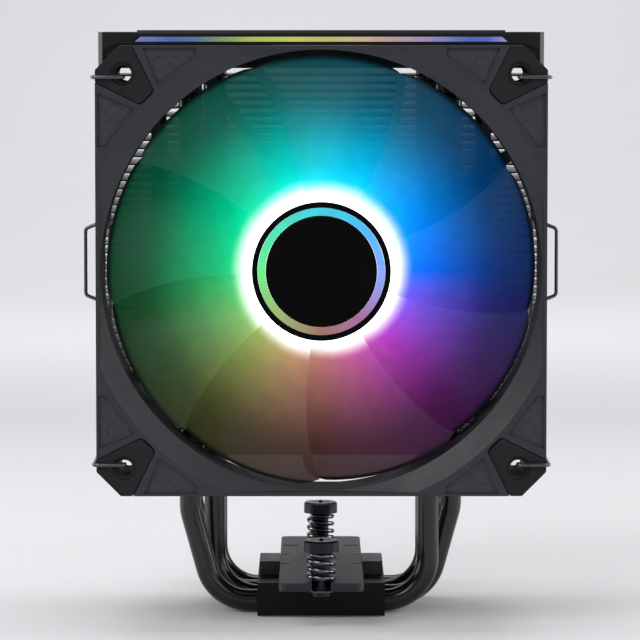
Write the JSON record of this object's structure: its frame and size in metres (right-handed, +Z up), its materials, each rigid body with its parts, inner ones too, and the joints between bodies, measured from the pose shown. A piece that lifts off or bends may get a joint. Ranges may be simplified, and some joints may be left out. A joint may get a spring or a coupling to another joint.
{
  "type": "cpu tower cooler",
  "caption": "Single tower processor cooler: fin stack on U-shaped heat pipes over a milled base, with a lit top cover and a wire-clipped 120 mm lit fan.",
  "frame": {"origin": "centre of the flat contact face under the base", "axes": "+Z up from the contact face towards the top cover, -Y towards the fan (air enters from -Y and leaves to +Y), +X to the right seen from the fan's side"},
  "size_m": [0.1314, 0.0986, 0.1604],
  "materials": {
    "fins": "thin black coat with a soft satin sheen on aluminium sheet",
    "pipes": "black plated tube, satin to semi gloss",
    "base": "black anodised milled aluminium",
    "cap": "grey black milled aluminium",
    "plate": "grey black coated steel plate",
    "screw_steel": "blackened turned steel",
    "spring_steel": "bright spring wire",
    "bright_steel": "bright steel",
    "wire_steel": "drawn spring wire",
    "cover": "fine textured black plastic",
    "light_strip": "frosted light guide",
    "frame_plastic": "charcoal plastic with a fine spark texture",
    "pad_rubber": "matt black rubber",
    "blade_plastic": "frosted translucent plastic lit from the hub",
    "hub_black": "smooth black plastic",
    "hub_light": "frosted light ring",
    "yoke_steel": "drawn steel cup",
    "magnet": "bonded magnet",
    "sleeve_brass": "sintered bearing metal",
    "core_steel": "stacked laminations",
    "copper": "enamelled copper wire",
    "board": "solder mask",
    "label": "blank satin label"
  },
  "bodies": {
    "tower": {"fin_stack": "fins", "heat_pipe_1": "pipes", "heat_pipe_2": "pipes", "heat_pipe_3": "pipes", "heat_pipe_4": "pipes", "base_block": "base", "base_cap": "cap", "bridge_plate": "plate", "bridge_screws": "bright_steel", "mounting_spring_front": "spring_steel", "mounting_spring_rear": "spring_steel", "top_cover": "cover", "light_strip": "light_strip", "light_board": "board", "cover_screws": "screw_steel", "fan_frame": "frame_plastic", "front_pads": "pad_rubber", "rear_pads": "pad_rubber", "cable_gland": "pad_rubber", "bearing_sleeve": "sleeve_brass", "stator_core": "core_steel", "stator_coils": "copper", "driver_board": "board", "fan_label": "label"},
    "rotor": {"impeller": "blade_plastic", "hub_cap": "hub_black", "hub_light_ring": "hub_light", "hub_band": "hub_black", "rotor_yoke": "yoke_steel", "magnet_ring": "magnet", "rotor_shaft": "bright_steel", "shaft_clip": "bright_steel"},
    "clip_left": {"wire_clip_left": "wire_steel"},
    "clip_right": {"wire_clip_right": "wire_steel"},
    "retainer_front": {"e_clip_front": "bright_steel"},
    "screw_front": {"mounting_screw_front": "screw_steel"},
    "retainer_rear": {"e_clip_rear": "bright_steel"},
    "screw_rear": {"mounting_screw_rear": "screw_steel"}
  },
  "joints": [
    {"name": "rotor_spin", "type": "hinge", "parent": "tower", "child": "rotor", "pos_m": [0, -0.0375, 0.0964], "axis": [0, 1, 0], "continuous": true},
    {"name": "clip_left_swing", "type": "hinge", "parent": "tower", "child": "clip_left", "pos_m": [-0.0525, -0.05065, 0.0964], "axis": [0, 0, 1], "range_deg": [0, 25], "stiffness_Nm_per_rad": 0.05},
    {"name": "clip_right_swing", "type": "hinge", "parent": "tower", "child": "clip_right", "pos_m": [0.0525, -0.05065, 0.0964], "axis": [0, 0, -1], "range_deg": [0, 25], "stiffness_Nm_per_rad": 0.05},
    {"name": "screw_front_press", "type": "slide", "parent": "tower", "child": "retainer_front", "axis": [0, 0, -1], "range_m": [0, 0.003], "stiffness_N_per_m": 1000, "springref_m": -0.002, "deforming": ["mounting_spring_front"]},
    {"name": "screw_front_turn", "type": "hinge", "parent": "retainer_front", "child": "screw_front", "pos_m": [0, -0.0415, 0.02], "axis": [0, 0, 1], "continuous": true},
    {"name": "screw_rear_press", "type": "slide", "parent": "tower", "child": "retainer_rear", "axis": [0, 0, -1], "range_m": [0, 0.003], "stiffness_N_per_m": 1000, "springref_m": -0.002, "deforming": ["mounting_spring_rear"]},
    {"name": "screw_rear_turn", "type": "hinge", "parent": "retainer_rear", "child": "screw_rear", "pos_m": [0, 0.0415, 0.02], "axis": [0, 0, 1], "continuous": true}
  ]
}
